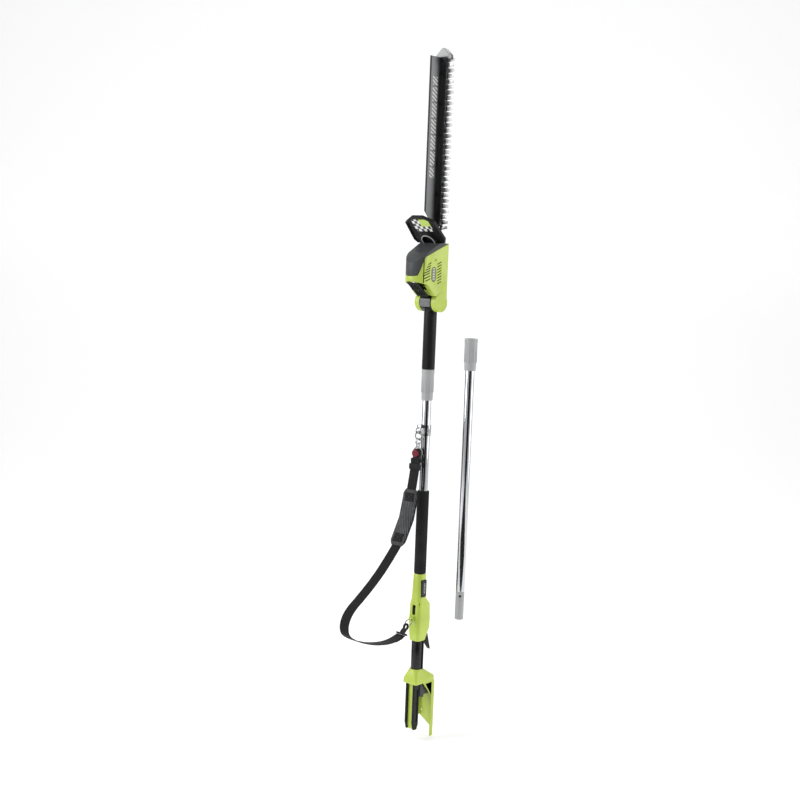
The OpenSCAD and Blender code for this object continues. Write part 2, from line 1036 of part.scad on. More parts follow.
module front_guard() {
    color(black)
        on_guard()
            difference() {
                union() {
                    linear_extrude(guard_t)
                        guard_outline(0);
                    linear_extrude(guard_t + 4)
                        difference() {
                            guard_outline(0);
                            guard_outline(4);
                        }
                    translate([0, guard_eye_y, 0])
                        cylinder(d = 52, h = guard_t + 9);
                }
                translate([0, guard_eye_y, guard_t])
                    cylinder(d = 36, h = far);
                translate([-label_size[0] / 2, label_y, guard_t - label_depth])
                    cube([label_size[0], label_size[1], far]);
                translate([-far / 2, -far / 2, -1])
                    cube([far, far / 2 + 14, far]);
                rotate([guard_tilt - 180, 0, 0])
                    translate([-far / 2, -60 + guard_base[0], -far + nose_z - guard_base[1]])
                        cube([far, far, far]);
            }
}

module guard_label() {
    color("white")
        on_guard()
            translate([-label_size[0] / 2 + clearance, label_y + clearance, guard_t - label_depth])
                cube([label_size[0] - 2 * clearance, label_size[1] - 2 * clearance, label_depth]);
}

// ---------- drive ----------

module gear_plate() {
    color(steel)
        at_pivot()
            difference() {
                block([-30, bar_top_t, gear_z - 52], [30, bar_top_t + 4, nose_z - 4]);
                top_cylinder([0, gear_z], crank_d + 2 * running, bar_top_t - 1, bar_top_t + 5);
                for (x = [-24, 24], z = [gear_z - 44, nose_z - 14])
                    top_cylinder([x, z], 4.5, bar_top_t - 1, bar_top_t + 5);
            }
}

module motor_can() {
    color(steel)
        at_pivot()
            translate([0, -motor_t, 53])
                difference() {
                    cylinder(d = can_d, h = 35);
                    translate([0, 0, 2.5])
                        cylinder(d = can_d - 4, h = 30);
                    translate([0, 0, -1])
                        cylinder(d = 5 + 2 * running, h = 42);
                }
}

module motor_rotor() {
    color("#b06a3a")
        at_pivot()
            translate([0, -motor_t, 0]) {
                translate([0, 0, 51])
                    cylinder(d = 5, h = 37);
                translate([0, 0, 57])
                    cylinder(d = can_d - 8, h = 25);
                translate([0, 0, gear_z - gear_pitch_r - 4])
                    pinion();
                translate([0, 0, 86])
                    cylinder(d = 5, h = gear_z - gear_pitch_r - 4 - 85);
            }
}

module pinion() {
    linear_extrude(7)
        union() {
            circle(pinion_r - 1.6);
            for (i = [0 : pinion_teeth - 1])
                rotate(90 + (i + 0.5) * 360 / pinion_teeth)
                    polygon([[0, -1.5], [pinion_r - 1.6, -1.4], [pinion_r + 1.1, -0.5],
                        [pinion_r + 1.1, 0.5], [pinion_r - 1.6, 1.4], [0, 1.5]]);
        }
}

module drive_gear() {
    step = 360 / gear_teeth;
    color(steel)
        at_pivot()
            difference() {
                union() {
                    top_cylinder([0, gear_z], 2 * gear_pitch_r + 5, gear_top_t - gear_t, gear_top_t);
                    for (i = [0 : gear_teeth - 1])
                        translate([0, -gear_top_t, gear_z])
                            rotate([0, i * step, 0])
                                translate([-0.9, -face_tooth_h, -gear_pitch_r - 1.5])
                                    cube([1.8, face_tooth_h + 1, 3]);
                }
                top_cylinder([0, gear_z], crank_d, 0, far);
            }
}

// shaft with two cams half a turn apart
module crankshaft() {
    color(silver)
        at_pivot() {
            top_cylinder([0, gear_z], crank_d, upper_blade_t - 0.1, gear_top_t);
            top_cylinder([stroke, gear_z], 2 * cam_r, upper_blade_t - blade_t, upper_blade_t);
            top_cylinder([-stroke, gear_z], 2 * cam_r, blade_bottom_t, upper_blade_t - blade_t);
        }
}

// ---------- blades ----------

function bolt_z(i) = teeth_z + 18 + i * bolt_step;

// pair of teeth drawn as one outline across the spine
module tooth_pair(z) {
    root = tooth_pitch * 0.24;
    tip = tooth_pitch * 0.12;
    half = blade_w / 2;
    polygon([[-half, z - tip], [-spine_half, z - root], [spine_half, z - root], [half, z - tip],
        [half, z + tip], [spine_half, z + root], [-spine_half, z + root], [-half, z + tip]]);
}

module blade_outline(shift) {
    slot_d = blade_bolt_d + 2 * clearance + 0.4;
    plate = window_z + 6;
    difference() {
        union() {
            translate([-24, gear_z - plate])
                square([48, 2 * plate]);
            translate([-spine_half, gear_z])
                square([2 * spine_half, teeth_z + teeth_len - gear_z + 2]);
            for (i = [0 : tooth_count - 1])
                tooth_pair(teeth_z + (i + 0.25 + shift) * tooth_pitch);
        }
        translate([-window_x, gear_z - window_z])
            square([2 * window_x, 2 * window_z]);
        for (i = [0 : bolt_count - 1]) {
            translate([-slot_d / 2, bolt_z(i) - stroke - 1])
                square([slot_d, 2 * stroke + 2]);
            for (end = [-1, 1])
                translate([0, bolt_z(i) + end * (stroke + 1)])
                    circle(d = slot_d);
        }
    }
}

module blade(t_top, shift) {
    color(silver)
        at_pivot()
            translate([0, -t_top + blade_t, 0])
                rotate([90, 0, 0])
                    linear_extrude(blade_t)
                        blade_outline(shift);
}

module upper_blade() {
    blade(upper_blade_t, 0);
}

module lower_blade() {
    blade(lower_blade_t, 0.5);
}

module blade_bar() {
    color(steel)
        at_pivot()
            difference() {
                block([-bar_w / 2, bar_top_t - bar_t, bar_start_z],
                    [bar_w / 2, bar_top_t, bar_end_z]);
                for (i = [0 : bolt_count - 1])
                    top_cylinder([0, bolt_z(i)], blade_bolt_d, -far / 2, 0);
            }
}

module blade_bolts() {
    head = bar_top_t + foot_t;
    color(silver)
        at_pivot()
            for (i = [0 : bolt_count - 1]) {
                top_cylinder([0, bolt_z(i)], blade_bolt_d, blade_bottom_t - 3.5, head);
                top_cylinder([0, bolt_z(i)], blade_bolt_d + 4, head, head + 3);
                top_cylinder([0, bolt_z(i)], blade_bolt_d + 5, blade_bottom_t - 3.5,
                    blade_bottom_t - clearance);
            }
}

module deflector() {
    top_t = bar_top_t + deflector_h;
    color(charcoal)
        at_pivot()
            difference() {
                union() {
                    block([plate_x, bar_top_t, deflector_start_z],
                        [12, bar_top_t + foot_t, plate_end_z]);
                    translate([plate_x + foot_t / 2, 0, 0])
                        across(foot_t / 2)
                            polygon([[bar_top_t, deflector_start_z], [bar_top_t, plate_end_z],
                                [top_t - 1, plate_end_z], [top_t, plate_end_z - 1],
                                [top_t, deflector_start_z + 40],
                                [bar_top_t + 8, deflector_start_z]]);
                }
                for (i = [0 : bolt_count - 1])
                    top_cylinder([0, bolt_z(i)], blade_bolt_d, -far / 2, 0);
            }
}

module tip_guard() {
    half = blade_w / 2 - 9;
    floor_t = blade_bottom_t - 4;
    color(light_grey)
        at_pivot()
            difference() {
                translate([0, -floor_t, 0])
                    rotate([90, 0, 0])
                        linear_extrude(bar_top_t + 5 - floor_t)
                            hull() {
                                translate([-half, bar_end_z - 22])
                                    square([2 * half, 10]);
                                translate([0, tip_z - 7])
                                    circle(7, $fn = hull_fn);
                            }
                block([-bar_w / 2, bar_top_t - bar_t, 0], [bar_w / 2, bar_top_t, bar_end_z]);
                block([-half - 1, blade_bottom_t - 0.4, 0],
                    [half + 1, bar_top_t - bar_t - 0.01, teeth_z + teeth_len + 2 + stroke + 1]);
                block([-bar_w, bar_top_t, 0], [bar_w, bar_top_t + 10, plate_end_z + clearance]);
            }
}

// ---------- extension section ----------

module at_extension(z) {
    translate([ext_gap, 0, ext_foot_z + z])
        children();
}

module extension_tube() {
    color(silver)
        at_extension(0)
            tube(pole_d, pole_d - 2 * pole_wall, spigot_len, ext_len + sleeve_overlap);
}

module extension_spigot() {
    color(light_grey)
        at_extension(0)
            difference() {
                spigot(0, spigot_len, pole_d - 2 * pole_wall, 30);
                translate([0, 0, spigot_len - 12])
                    rotate([90, 0, 40])
                        cylinder(d = 7, h = pole_d);
            }
}

module extension_socket() {
    color(light_grey)
        at_extension(spigot_len + ext_len)
            sleeve();
}

module extension_collar() {
    color(light_grey)
        at_extension(spigot_len + ext_len)
            collar();
}

// ---------- nodes ----------

pole_tube();
foam_grip();
socket_insert();
hanger_clamp();
hanger_bolt();
hanger_ring();
handle_shell_left();
handle_shell_right();
handle_screws();
handle_badge();
trigger();
trigger_pin();
trigger_switch();
lock_off_button();
handle_ring();
rear_tube();
battery_lead();
shroud_cap();
shroud_guard_wall();
guide_post();
guide_spine();
terminal_block();
strap_hook();
strap_hook_gate();
quick_release();
release_button();
strap_upper();
strap_pad();
strap_lower();
strap_adjuster();
lower_hook();
coupling_collar();
upper_tube();
upper_spigot();
knuckle();
pivot_pin();
tilt_button();
head_shell_left();
head_shell_right();
head_screws();
side_badges();
motor_cover();
rear_grille();
front_guard();
guard_label();
gear_plate();
motor_can();
motor_rotor();
drive_gear();
crankshaft();
blade_bar();
blade_bolts();
upper_blade();
lower_blade();
deflector();
tip_guard();
extension_tube();
extension_socket();
extension_spigot();
extension_collar();
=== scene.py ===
# %% [markdown]
# A pole hedge trimmer with its shoulder strap and a spare extension section, dressed for a studio picture.
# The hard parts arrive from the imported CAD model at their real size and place. Everything here is about how
# they look: rounded edges, woven and foamed soft parts, and materials with grain, weave and wear.

# %% load the frame
import json
import math

import bpy
from mathutils import Matrix, Vector


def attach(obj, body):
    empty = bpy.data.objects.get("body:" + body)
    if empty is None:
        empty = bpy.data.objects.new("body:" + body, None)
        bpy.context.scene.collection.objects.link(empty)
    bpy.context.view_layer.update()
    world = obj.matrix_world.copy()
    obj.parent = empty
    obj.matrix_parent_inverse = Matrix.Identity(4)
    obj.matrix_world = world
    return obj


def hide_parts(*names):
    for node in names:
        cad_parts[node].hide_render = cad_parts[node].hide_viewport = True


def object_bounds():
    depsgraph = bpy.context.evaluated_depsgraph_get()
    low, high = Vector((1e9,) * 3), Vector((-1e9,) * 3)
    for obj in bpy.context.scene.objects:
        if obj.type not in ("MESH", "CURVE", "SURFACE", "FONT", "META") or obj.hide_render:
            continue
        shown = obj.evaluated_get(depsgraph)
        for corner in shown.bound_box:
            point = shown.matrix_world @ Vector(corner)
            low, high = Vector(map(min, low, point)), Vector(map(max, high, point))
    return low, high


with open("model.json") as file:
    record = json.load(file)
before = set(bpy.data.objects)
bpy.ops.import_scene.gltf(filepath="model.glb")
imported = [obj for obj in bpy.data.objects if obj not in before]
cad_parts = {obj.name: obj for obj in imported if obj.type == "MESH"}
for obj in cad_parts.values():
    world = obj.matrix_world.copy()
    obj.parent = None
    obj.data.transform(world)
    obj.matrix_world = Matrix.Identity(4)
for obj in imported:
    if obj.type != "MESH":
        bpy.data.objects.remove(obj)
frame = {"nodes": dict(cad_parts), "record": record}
cad_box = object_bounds()
nodes = frame["nodes"]
body_of_node = {n: b for b, ns in frame["record"]["behaviour"]["bodies"].items() for n in ns}
PIVOT_Z = 0.452
slot_of_node = {s["node"]: s["material_slot"] for s in frame["record"]["subparts"]}

# %% [markdown]
# The camera stands a little above the middle of the tool and looks slightly down at it from its front
# right quarter. It is placed with plain trigonometry: a heading round the tool, a distance, a height, and
# then a small pitch, yaw and roll. The roll is what makes the upright tool lean in the picture.

# %% camera
HEADING = math.radians(40)
DISTANCE = 3.49
EYE_HEIGHT = 0.581
PITCH = math.radians(6.6)
YAW = math.radians(1.23)
ROLL = math.radians(2.2)

eye = Vector((DISTANCE * math.sin(HEADING), -DISTANCE * math.cos(HEADING), EYE_HEIGHT))
look = HEADING + YAW
forward = Vector((-math.sin(look) * math.cos(PITCH), math.cos(look) * math.cos(PITCH), -math.sin(PITCH)))
level_right = forward.cross(Vector((0, 0, 1))).normalized()
level_up = level_right.cross(forward)
right = level_right * math.cos(ROLL) + level_up * math.sin(ROLL)
up = level_up * math.cos(ROLL) - level_right * math.sin(ROLL)

camera_data = bpy.data.cameras.new("camera")
camera_data.sensor_width = 36
camera_data.lens = 56.8
camera = bpy.data.objects.new("camera", camera_data)
bpy.context.scene.collection.objects.link(camera)
turn = Matrix((right, up, -forward)).transposed().to_4x4()
camera.matrix_world = Matrix.Translation(eye) @ turn
bpy.context.scene.camera = camera
print("camera at", [round(c, 2) for c in eye])

# %% [markdown]
# Operators act on whatever is selected, so one small helper clears the selection and picks the objects
# that the next operator should see. Everything that is modelled below goes through it.

# %% selection helpers
def pick(*objects):
    for other in bpy.context.selected_objects:
        other.select_set(False)
    for wanted in objects:
        wanted.select_set(True)
    bpy.context.view_layer.objects.active = objects[0]
    return objects[0]


def apply_all(obj):
    pick(obj)
    for modifier in list(obj.modifiers):
        bpy.ops.object.modifier_apply(modifier=modifier.name)
    return obj


def settle(obj):
    """Moves the object's place into its mesh."""
    pick(obj)
    bpy.ops.object.transform_apply(location=True, rotation=True, scale=True)
    return obj


def in_edit_mode(obj):
    pick(obj)
    bpy.ops.object.mode_set(mode="EDIT")
    bpy.ops.mesh.select_all(action="SELECT")


def in_edit_mode_selected(obj):
    """Edit mode with only the edges selected that were marked before."""
    pick(obj)
    bpy.ops.object.mode_set(mode="EDIT")
    bpy.ops.mesh.select_mode(type="EDGE")


def out_of_edit_mode():
    bpy.ops.object.mode_set(mode="OBJECT")

# %% [markdown]
# A white sweep of paper stands behind and under the tool: a floor that curves up into a wall, so no horizon
# line shows. It is one strip of quads pulled out edge by edge, and the curve is a quarter circle of points.

# %% studio sweep
def stage_material(name, constants):
    """A plain material for things that aren't part of the tool."""
    material = bpy.data.materials.new(name)
    material.use_nodes = True
    shader = material.node_tree.nodes["Principled BSDF"]
    for socket, value in constants.items():
        shader.inputs[socket].default_value = value
    return material


def paper_sweep():
    floor_z = cad_box[0].z - 0.002
    bend = 1.5
    start = -4.0
    wall = 3.2
    half_width = 9
    top = 7.0
    bpy.ops.mesh.primitive_plane_add(size=1)
    sweep = bpy.context.object
    sweep.name = "paper_sweep"
    steps = [(start, 0.0)]
    steps += [(wall + bend * math.sin(a), bend * (1 - math.cos(a)))
              for a in [math.radians(d) for d in range(0, 91, 6)]]
    steps.append((wall + bend, top))
    mesh = sweep.data
    mesh.clear_geometry()
    verts = [(x, along, height) for along, height in steps for x in (-half_width, half_width)]
    faces = [(2 * i, 2 * i + 1, 2 * i + 3, 2 * i + 2) for i in range(len(steps) - 1)]
    mesh.from_pydata(verts, [], faces)
    sweep.rotation_euler.z = look
    sweep.location.z = floor_z
    settle(sweep)
    pick(sweep)
    bpy.ops.object.shade_smooth()
    sweep.data.materials.append(stage_material("paper", {
        "Base Color": (0.93, 0.93, 0.93, 1), "Roughness": 0.9, "Specular IOR Level": 0.1,
        "Emission Color": (1, 1, 1, 1), "Emission Strength": 0.2,
    }))
    return sweep


sweep = paper_sweep()
print("sweep floor at", round(cad_box[0].z, 3))

# %% [markdown]
# The light is that of a light tent: a bright even surround and a glowing sweep, large lamps far out on both
# sides, and a weaker one behind. Bare metal only looks like metal when it has something dark to mirror, so a
# wide black card stands behind the camera and a narrower one on the left, each with a black runner on the
# floor in front of it. The cards show only in mirrors: they cast no shadow and darken nothing.

# %% lights and cards
def area_light(name, heading, distance, height, size, power, tall=1.0):
    light = bpy.data.lights.new(name, "AREA")
    light.shape = "RECTANGLE"
    light.size = size
    light.size_y = size * tall
    light.energy = power
    lamp = bpy.data.objects.new(name, light)
    bpy.context.scene.collection.objects.link(lamp)
    place = Vector((distance * math.sin(heading), -distance * math.cos(heading), height))
    lamp.location = place
    lamp.rotation_euler = (Vector((0, 0, 0.15)) - place).to_track_quat("-Z", "Y").to_euler()
    return lamp


def hide_but_in_mirrors(card):
    settle(card)
    card.visible_camera = False
    card.visible_shadow = False
    card.visible_diffuse = False
    card.data.materials.append(card_black)
    return card


def dark_card(name, heading, distance, width, height):
    """An upright black card, and a black runner on the floor from it to near the tool."""
    runner_end = 0.7
    toward = Vector((math.sin(heading), -math.cos(heading), 0))
    bpy.ops.mesh.primitive_plane_add(size=1, location=toward * distance + Vector((0, 0, 0.2)))
    card = bpy.context.object
    card.name = name
    card.scale = (width, height, 1)
    card.rotation_euler = (-toward).to_track_quat("-Z", "Y").to_euler()
    bpy.ops.mesh.primitive_plane_add(size=1, location=toward * (distance + runner_end) / 2
                                     + Vector((0, 0, cad_box[0].z + 0.004)))
    runner = bpy.context.object
    runner.name = name + "_runner"
    runner.scale = (width * 0.55, distance - runner_end, 1)
    runner.rotation_euler.z = heading
    return hide_but_in_mirrors(card), hide_but_in_mirrors(runner)


world = bpy.data.worlds.new("tent")
bpy.context.scene.world = world
world.use_nodes = True
surround = world.node_tree.nodes["Background"]
surround.inputs["Color"].default_value = (1, 1, 1, 1)
surround.inputs["Strength"].default_value = 0.6
bpy.context.scene.view_settings.view_transform = "Standard"

card_black = stage_material("card_black", {"Base Color": (0.01, 0.01, 0.01, 1), "Roughness": 1.0})

area_light("key", HEADING - math.radians(78), 3.0, 1.6, 1.6, 62, 1.8)
area_light("fill", HEADING + math.radians(82), 3.2, 1.2, 1.6, 40, 1.8)
area_light("back", HEADING + math.radians(170), 3.0, 2.6, 1.4, 18)
dark_card("card_front", HEADING + math.radians(9), 4.6, 4.4, 6.0)
dark_card("card_left", HEADING - math.radians(104), 2.6, 1.3, 5.0)

# %% [markdown]
# Shader maths reads badly as chains of nodes, so one class wraps a socket and lets Python operators add the
# Math nodes. A second class is a material with one method that adds any other node. With these two, a
# pattern is written as a formula.

# %% shader helpers
class Value:
    def __init__(self, surface, socket):
        self.surface = surface
        self.socket = socket

    def math(self, operation, *others):
        return self.surface.add("ShaderNodeMath", {"operation": operation}, self, *others)

    def __add__(self, other):
        return self.math("ADD", other)

    def __radd__(self, other):
        return self.math("ADD", other)

    def __sub__(self, other):
        return self.math("SUBTRACT", other)

    def __rsub__(self, other):
        return self.surface.add("ShaderNodeMath", {"operation": "SUBTRACT"}, other, self)

    def __mul__(self, other):
        return self.math("MULTIPLY", other)

    def __rmul__(self, other):
        return self.math("MULTIPLY", other)

    def __truediv__(self, other):
        return self.math("DIVIDE", other)

    def sin(self):
        return self.math("SINE")

    def size(self):
        return self.math("ABSOLUTE")

    def above(self, level):
        return self.math("GREATER_THAN", level)

    def part(self):
        return self.math("FRACT")

    def between(self, low, high):
        """0 below low, 1 above high, smooth between."""
        return self.surface.add("ShaderNodeMapRange", {"interpolation_type": "SMOOTHSTEP"}, self, low, high)


class Surface:
    """A material with a Principled shader, and a short way to add nodes to it."""

    def __init__(self, name, colour, roughness, metallic=0.0, **constants):
        self.material = bpy.data.materials.new(name)
        self.material.use_nodes = True
        self.tree = self.material.node_tree
        self.shader = self.tree.nodes["Principled BSDF"]
        self.constant("Base Color", (*colour, 1))
        self.constant("Roughness", roughness)
        self.constant("Metallic", metallic)
        for socket, value in constants.items():
            self.constant(socket.replace("_", " "), value)

    def constant(self, socket, value):
        self.shader.inputs[socket].default_value = value

    def add(self, kind, settings=None, *inputs, out=0, **named):
        node = self.tree.nodes.new(kind)
        for key, value in (settings or {}).items():
            setattr(node, key, value)
        for index, value in list(enumerate(inputs)) + [(k.replace("_", " "), v) for k, v in named.items()]:
            self.feed(node.inputs[index], value)
        return Value(self, node.outputs[out])

    def feed(self, socket, value):
        if isinstance(value, Value):
            self.tree.links.new(value.socket, socket)
        elif value is not None:
            socket.default_value = value

    def place(self):
        return self.add("ShaderNodeTexCoord", out="Object")

    def axes(self, vector):
        split = self.tree.nodes.new("ShaderNodeSeparateXYZ")
        self.feed(split.inputs[0], vector)
        return [Value(self, s) for s in split.outputs]

    def noise(self, scale, detail=3.0, stretch=(1, 1, 1), roughness=0.5):
        mapped = self.add("ShaderNodeMapping", None, self.place(), Scale=stretch)
        return self.add("ShaderNodeTexNoise", None, mapped, Scale=scale, Detail=detail, Roughness=roughness)

    def mix(self, share, first, second):
        node = self.tree.nodes.new("ShaderNodeMix")
        node.data_type = "RGBA"
        for socket, value in zip([s for s in node.inputs if s.type == "RGBA"], (first, second)):
            self.feed(socket, (*value, 1) if isinstance(value, tuple) else value)
        self.feed(node.inputs[0], share)
        return Value(self, [s for s in node.outputs if s.type == "RGBA"][0])

    def paint(self, colour=None, roughness=None, metallic=None, height=None, depth=0.0005, strength=0.5):
        if colour is not None:
            self.feed(self.shader.inputs["Base Color"], colour)
        if roughness is not None:
            self.feed(self.shader.inputs["Roughness"], roughness)
        if metallic is not None:
            self.feed(self.shader.inputs["Metallic"], metallic)
        if height is not None:
            bump = self.add("ShaderNodeBump", None, Height=height, Strength=strength, Distance=depth)
            self.feed(self.shader.inputs["Normal"], bump)
        return self.material


def tone(colour, factor):
    return tuple(min(1.0, c * factor) for c in colour)

# %% [markdown]
# Moulded plastic is never one flat colour. Its skin has a fine spark-eroded grain that breaks up the
# highlight, the resin varies a little in tone, and edges and hollows pick up scuffs. One recipe serves
# every moulding, with the grain size, the gloss and the tone set for each colour of resin.

# %% moulded plastics
def moulding(name, colour, roughness, grain=2600, depth=0.00006, drift=0.07, coat=0.0, scuff=0.5,
             shine=0.5):
    s = Surface(name, colour, roughness, Coat_Weight=coat, Coat_Roughness=0.12, Specular_IOR_Level=shine)
    cloud = s.noise(14, 4)
    fine = s.noise(grain, 2)
    marks = s.noise(160, 6, stretch=(1, 1, 0.25), roughness=0.7).between(0.60, 0.74)
    shade = s.mix(cloud.between(0.3, 0.7), tone(colour, 1 - drift), tone(colour, 1 + drift))
    shade = s.mix(marks * (0.10 * scuff), shade, tone((0.75, 0.75, 0.72), 1.0))
    gloss = cloud * 0.10 + fine * 0.08 + marks * (0.12 * scuff) + (roughness - 0.09)
    return s.paint(shade, gloss, height=fine + marks * -0.25, depth=depth, strength=0.6)


LIME = (0.46, 0.585, 0.075)
FINISH = {
    "lime_plastic": moulding("lime_plastic", LIME, 0.36, coat=0.18),
    "charcoal_plastic": moulding("charcoal_plastic", (0.058, 0.06, 0.063), 0.42, grain=1900, depth=0.0001,
                                 shine=0.3),
    "black_plastic": moulding("black_plastic", (0.009, 0.009, 0.0095), 0.46, grain=2100, depth=0.0001,
                              scuff=0.25, shine=0.22),
    "black_gloss": moulding("black_gloss", (0.007, 0.007, 0.0075), 0.24, depth=0.00003, coat=0.15,
                            scuff=0.2, shine=0.3),
    "grey_plastic": moulding("grey_plastic", (0.38, 0.385, 0.39), 0.40, drift=0.05),
    "crimson_plastic": moulding("crimson_plastic", (0.16, 0.006, 0.018), 0.30, coat=0.15, shine=0.3),
}
print("mouldings:", len(FINISH))

# %% [markdown]
# The poles are drawn aluminium tube. Drawing leaves hair lines along the tube, so the noise is stretched
# along Z until it is all streaks, and the streaks change the roughness more than the colour. Handling adds
# a few duller patches.

# %% drawn tube and machined steel
def drawn_tube(name, colour, roughness):
    s = Surface(name, colour, roughness, metallic=1.0)
    streaks = s.noise(900, 3, stretch=(1, 1, 0.012), roughness=0.65)
    patches = s.noise(9, 3).between(0.42, 0.72)
    shade = s.mix(streaks, tone(colour, 0.90), tone(colour, 1.06))
    gloss = streaks * 0.07 + patches * 0.03 + (roughness - 0.04)
    return s.paint(shade, gloss, height=streaks, depth=0.00003, strength=0.35)


def ground_steel(name, colour, roughness, stretch, fine=700):
    s = Surface(name, colour, roughness, metallic=1.0)
    scratches = s.noise(fine, 4, stretch=stretch, roughness=0.7)
    stain = s.noise(30, 4).between(0.5, 0.8)
    shade = s.mix(scratches, tone(colour, 0.82), tone(colour, 1.1))
    shade = s.mix(stain * 0.35, shade, tone(colour, 0.55))
    gloss = scratches * 0.2 + stain * 0.15 + (roughness - 0.1)
    return s.paint(shade, gloss, height=scratches, depth=0.00004, strength=0.4)


FINISH["tube_metal"] = drawn_tube("tube_metal", (0.60, 0.61, 0.63), 0.11)
FINISH["steel"] = ground_steel("steel", (0.58, 0.585, 0.59), 0.30, (1, 1, 1), 500)
FINISH["blade_steel"] = ground_steel("blade_steel", (0.62, 0.625, 0.63), 0.30, (0.05, 1, 1))
FINISH["copper"] = ground_steel("copper", (0.55, 0.30, 0.16), 0.40, (1, 1, 6), 260)
print("metals: 4")

# %% [markdown]
# The grip is closed-cell foam: matt, slightly porous, with cells of a millimetre or so. A Voronoi texture
# gives the cells, and a finer noise roughens the skin between them.

# %% foam
def foam_skin():
    s = Surface("foam", (0.018, 0.018, 0.019), 0.9, Specular_IOR_Level=0.15)
    cells = s.add("ShaderNodeTexVoronoi", {"feature": "F1"}, s.place(), Scale=900.0)
    skin = s.noise(3000, 2)
    wear = s.noise(26, 4).between(0.45, 0.75)
    shade = s.mix(cells, (0.010, 0.010, 0.0105), (0.028, 0.028, 0.029))
    shade = s.mix(wear * 0.25, shade, (0.045, 0.044, 0.043))
    return s.paint(shade, 0.96 - wear * 0.12, height=cells + skin * 0.5, depth=0.0004, strength=0.55)


FINISH["foam"] = foam_skin()
print("foam ready")

# %% [markdown]
# Webbing is a flat narrow weave: stout warp ribs along its length, crossed by finer weft, with a tight
# selvedge. Its pattern has to follow the strap round its bends, so it reads the strap's own UV map, which
# is laid out in metres: U along the strap and V across it.

# %% webbing and pad fabrics
def metres_uv(s):
    along, across, _ = s.axes(s.add("ShaderNodeUVMap", {"uv_map": "metres"}))
    return along, across


def webbing_weave():
    s = Surface("webbing", (0.01, 0.01, 0.0105), 0.7, Specular_IOR_Level=0.15)
    along, across = metres_uv(s)
    ribs = (across * (math.pi / 0.0021)).sin().size()
    picks = (along * (math.pi / 0.0016) + across * (math.pi / 0.0042)).sin().size()
    weave = ribs * 0.65 + picks * 0.35
    fluff = s.noise(700, 4)
    shade = s.mix(weave * fluff * 1.6, (0.004, 0.004, 0.0043), (0.024, 0.024, 0.025))
    return s.paint(shade, 0.78 - weave * 0.22, height=weave, depth=0.0005, strength=0.8)


def spacer_mesh():
    s = Surface("pad_mesh", (0.08, 0.082, 0.085), 0.85, Sheen_Weight=0.15, Specular_IOR_Level=0.2)
    along, across = metres_uv(s)
    slope = across + along * 0.55
    row = (slope * 330.0).math("FLOOR")
    dash = ((along * 150.0 + row * 0.5).part() - 0.5).size().between(0.24, 0.34)
    groove = ((slope * 330.0).part() - 0.5).size().between(0.30, 0.44)
    hole = dash.math("MAXIMUM", groove)
    dust = s.noise(40, 4).between(0.35, 0.75)
    thread_tone = s.mix(dust, (0.105, 0.107, 0.112), (0.17, 0.173, 0.18))
    shade = s.mix(hole, thread_tone, (0.022, 0.0225, 0.024))
    return s.paint(shade, 0.80 + hole * 0.12, height=1 - hole + s.noise(1500, 2) * 0.3, depth=0.0008,
                   strength=0.8)


FINISH["webbing"] = webbing_weave()
FINISH["pad_mesh"] = spacer_mesh()
print("fabrics ready")

# %% [markdown]
# The label on the front guard is a printed film. It carries a plain pattern of light and dark checks with
# one lime patch and no lettering. The checks come from the signs of two sine waves. The deflector's paint,
# whose black edges are partly black trim and partly painted shade of its shadowed lip and base, and the
# badges' rims are worked out from the place of each point, so that they need no map at all.

# %% label film
def check_film():
    s = Surface("label", (0.8, 0.8, 0.78), 0.3, Coat_Weight=0.3, Coat_Roughness=0.1)
    along, across = metres_uv(s)
    across_step = (across * (math.pi / 0.0094)).sin().above(0)
    along_step = (along * (math.pi / 0.0094)).sin().above(0)
    odd = (across_step - along_step).size()
    left = across.math("LESS_THAN", 0.026)
    low = along.math("LESS_THAN", 0.0188)
    checked = left.math("MAXIMUM", low)
    patch = 1 - checked
    shade = s.mix(odd, (0.012, 0.012, 0.012), (0.80, 0.80, 0.78))
    shade = s.mix(patch, shade, (0.50, 0.66, 0.10))
    rub = s.noise(220, 5).between(0.55, 0.8)
    return s.paint(s.mix(rub * 0.3, shade, (0.3, 0.3, 0.29)), 0.28 + rub * 0.3)


def deflector_paint_and_shade():
    """Bare metal face with black edges, partly black trim and partly painted shade on the shadowed lip and
    base, and a band of slanted light dashes in place of lettering.
    """
    s = Surface("deflector_metal", (0.36, 0.365, 0.37), 0.42, metallic=1.0)
    x, y, z = s.axes(s.place())
    scratches = s.noise(420, 4, stretch=(1, 1, 0.04), roughness=0.7)
    metal = s.mix(scratches, (0.13, 0.132, 0.135), (0.22, 0.223, 0.227))
    # The black edges are partly the deflector's black trim and partly painted shade where its lip and base
    # lie in shadow.
    black = x.above(-0.0068).math("MAXIMUM", (y * -1).above(0.029)).math("MAXIMUM", z.above(1.135))
    slant = ((z + y * 0.6) / 0.0105).part().above(0.42)
    band = (y * -1).above(0.001) * (y * -1).math("LESS_THAN", 0.021)
    run = z.above(0.79) * z.math("LESS_THAN", 1.06) * ((z / 0.043).part().above(0.12))
    mark = slant * band * run * (1 - black) * s.noise(500, 3).above(0.36)
    shade = s.mix(black, metal, (0.012, 0.012, 0.0125))
    shade = s.mix(mark, shade, (0.62, 0.62, 0.60))
    # paint holds the light dashes and the black edges, which include painted shade; the metal is turned off
    # there.
    paint = black.math("MAXIMUM", mark)
    gloss = scratches * 0.18 + (0.40 + paint * 0.06)
    return s.paint(shade, gloss, metallic=1 - paint, height=scratches, depth=0.00004, strength=0.4)


# middle of the capsule badge, and the length of its straight part
BADGE_Z = PIVOT_Z + 0.077
BADGE_T = 0.035
BADGE_STRAIGHT = 0.020


